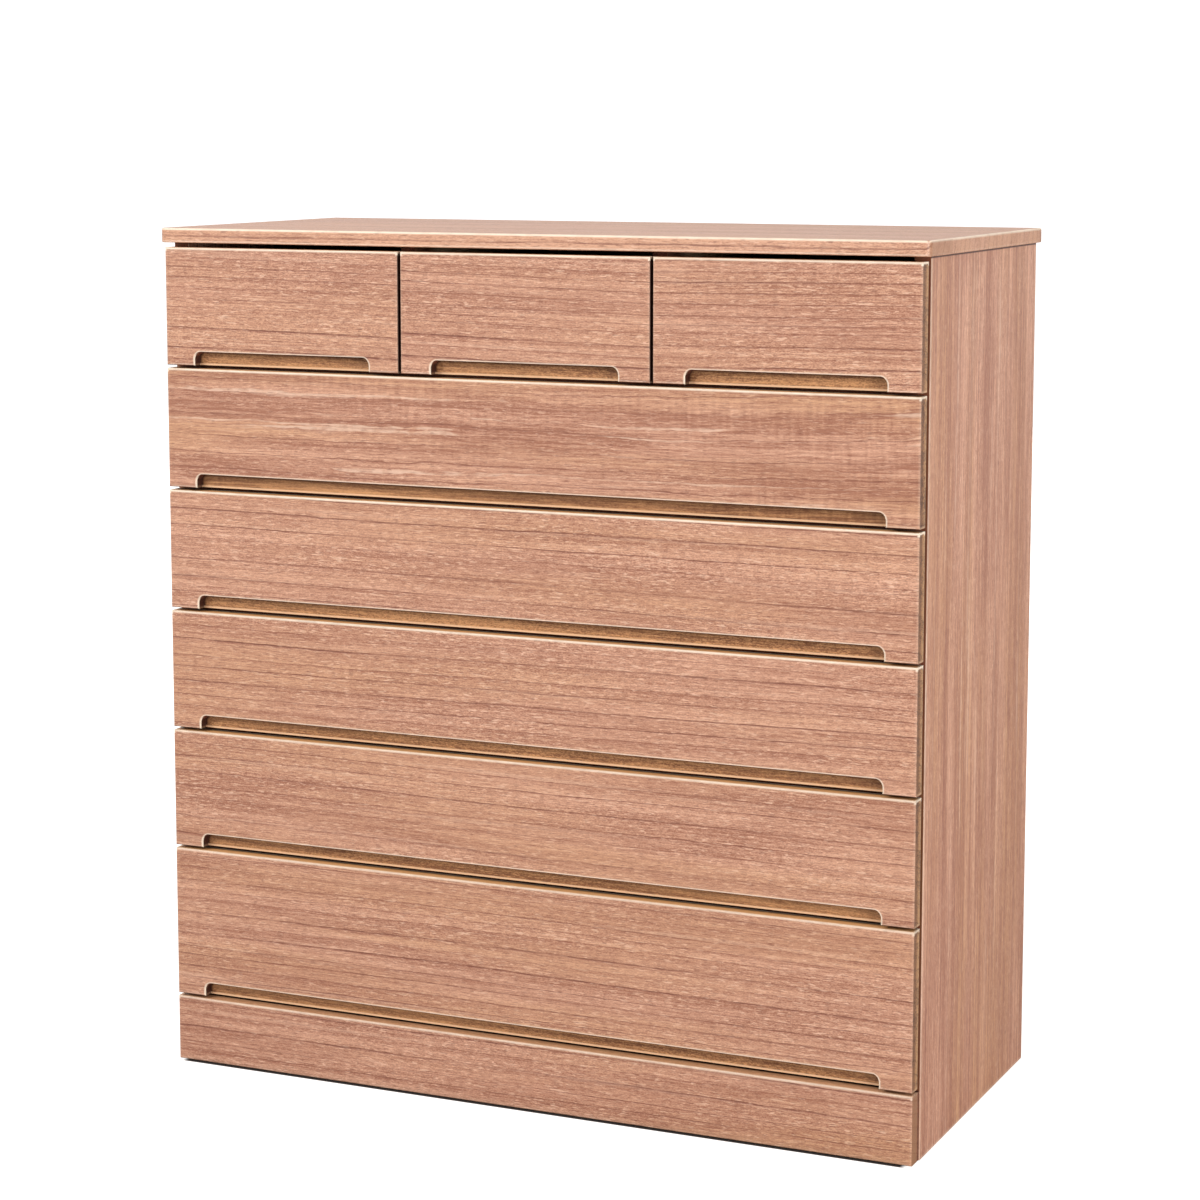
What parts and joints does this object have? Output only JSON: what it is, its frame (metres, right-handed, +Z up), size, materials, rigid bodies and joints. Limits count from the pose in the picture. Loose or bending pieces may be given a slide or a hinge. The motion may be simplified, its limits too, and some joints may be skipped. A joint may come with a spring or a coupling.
{
  "type": "chest of drawers",
  "caption": "Floor-standing paulownia chest: small drawers over wide overlay drawers on wooden runners, opened by finger recesses cut in the fronts' lower edges.",
  "frame": {"origin": "on the floor, under the middle of the chest", "axes": "+X to the right of a person facing the drawers, -Y the side the drawers open to, +Z up"},
  "size_m": [1, 0.445, 1.063],
  "materials": {
    "paulownia_face": "clear matt, straight grain",
    "paulownia_inner": "bare, planed",
    "paulownia_panel": "bare veneered panel"
  },
  "bodies": {
    "case": {"top_board": "paulownia_face", "left_side_panel": "paulownia_face", "right_side_panel": "paulownia_face", "back_panel": "paulownia_panel", "bottom_board": "paulownia_inner", "shelf_board": "paulownia_inner", "left_partition": "paulownia_inner", "right_partition": "paulownia_inner", "front_rail_1": "paulownia_inner", "front_rail_2": "paulownia_inner", "front_rail_3": "paulownia_inner", "front_rail_4": "paulownia_inner", "left_runners": "paulownia_inner", "right_runners": "paulownia_inner", "drawer_stops": "paulownia_inner", "plinth_board": "paulownia_face", "plinth_rail": "paulownia_inner", "plinth_blocks": "paulownia_inner"},
    "small_drawer_left": {"small_drawer_left_front": "paulownia_face", "small_drawer_left_left_side": "paulownia_inner", "small_drawer_left_right_side": "paulownia_inner", "small_drawer_left_back": "paulownia_inner", "small_drawer_left_bottom": "paulownia_panel"},
    "small_drawer_middle": {"small_drawer_middle_front": "paulownia_face", "small_drawer_middle_left_side": "paulownia_inner", "small_drawer_middle_right_side": "paulownia_inner", "small_drawer_middle_back": "paulownia_inner", "small_drawer_middle_bottom": "paulownia_panel"},
    "small_drawer_right": {"small_drawer_right_front": "paulownia_face", "small_drawer_right_left_side": "paulownia_inner", "small_drawer_right_right_side": "paulownia_inner", "small_drawer_right_back": "paulownia_inner", "small_drawer_right_bottom": "paulownia_panel"},
    "wide_drawer_1": {"wide_drawer_1_front": "paulownia_face", "wide_drawer_1_left_side": "paulownia_inner", "wide_drawer_1_right_side": "paulownia_inner", "wide_drawer_1_back": "paulownia_inner", "wide_drawer_1_bottom": "paulownia_panel"},
    "wide_drawer_2": {"wide_drawer_2_front": "paulownia_face", "wide_drawer_2_left_side": "paulownia_inner", "wide_drawer_2_right_side": "paulownia_inner", "wide_drawer_2_back": "paulownia_inner", "wide_drawer_2_bottom": "paulownia_panel"},
    "wide_drawer_3": {"wide_drawer_3_front": "paulownia_face", "wide_drawer_3_left_side": "paulownia_inner", "wide_drawer_3_right_side": "paulownia_inner", "wide_drawer_3_back": "paulownia_inner", "wide_drawer_3_bottom": "paulownia_panel"},
    "wide_drawer_4": {"wide_drawer_4_front": "paulownia_face", "wide_drawer_4_left_side": "paulownia_inner", "wide_drawer_4_right_side": "paulownia_inner", "wide_drawer_4_back": "paulownia_inner", "wide_drawer_4_bottom": "paulownia_panel"},
    "deep_drawer": {"deep_drawer_front": "paulownia_face", "deep_drawer_left_side": "paulownia_inner", "deep_drawer_right_side": "paulownia_inner", "deep_drawer_back": "paulownia_inner", "deep_drawer_bottom": "paulownia_panel"}
  },
  "joints": [
    {"name": "small_drawer_left_slide", "type": "slide", "parent": "case", "child": "small_drawer_left", "axis": [0, -1, 0], "range_m": [0, 0.3]},
    {"name": "small_drawer_middle_slide", "type": "slide", "parent": "case", "child": "small_drawer_middle", "axis": [0, -1, 0], "range_m": [0, 0.3]},
    {"name": "small_drawer_right_slide", "type": "slide", "parent": "case", "child": "small_drawer_right", "axis": [0, -1, 0], "range_m": [0, 0.3]},
    {"name": "wide_drawer_1_slide", "type": "slide", "parent": "case", "child": "wide_drawer_1", "axis": [0, -1, 0], "range_m": [0, 0.3]},
    {"name": "wide_drawer_2_slide", "type": "slide", "parent": "case", "child": "wide_drawer_2", "axis": [0, -1, 0], "range_m": [0, 0.3]},
    {"name": "wide_drawer_3_slide", "type": "slide", "parent": "case", "child": "wide_drawer_3", "axis": [0, -1, 0], "range_m": [0, 0.3]},
    {"name": "wide_drawer_4_slide", "type": "slide", "parent": "case", "child": "wide_drawer_4", "axis": [0, -1, 0], "range_m": [0, 0.3]},
    {"name": "deep_drawer_slide", "type": "slide", "parent": "case", "child": "deep_drawer", "axis": [0, -1, 0], "range_m": [0, 0.3]}
  ]
}
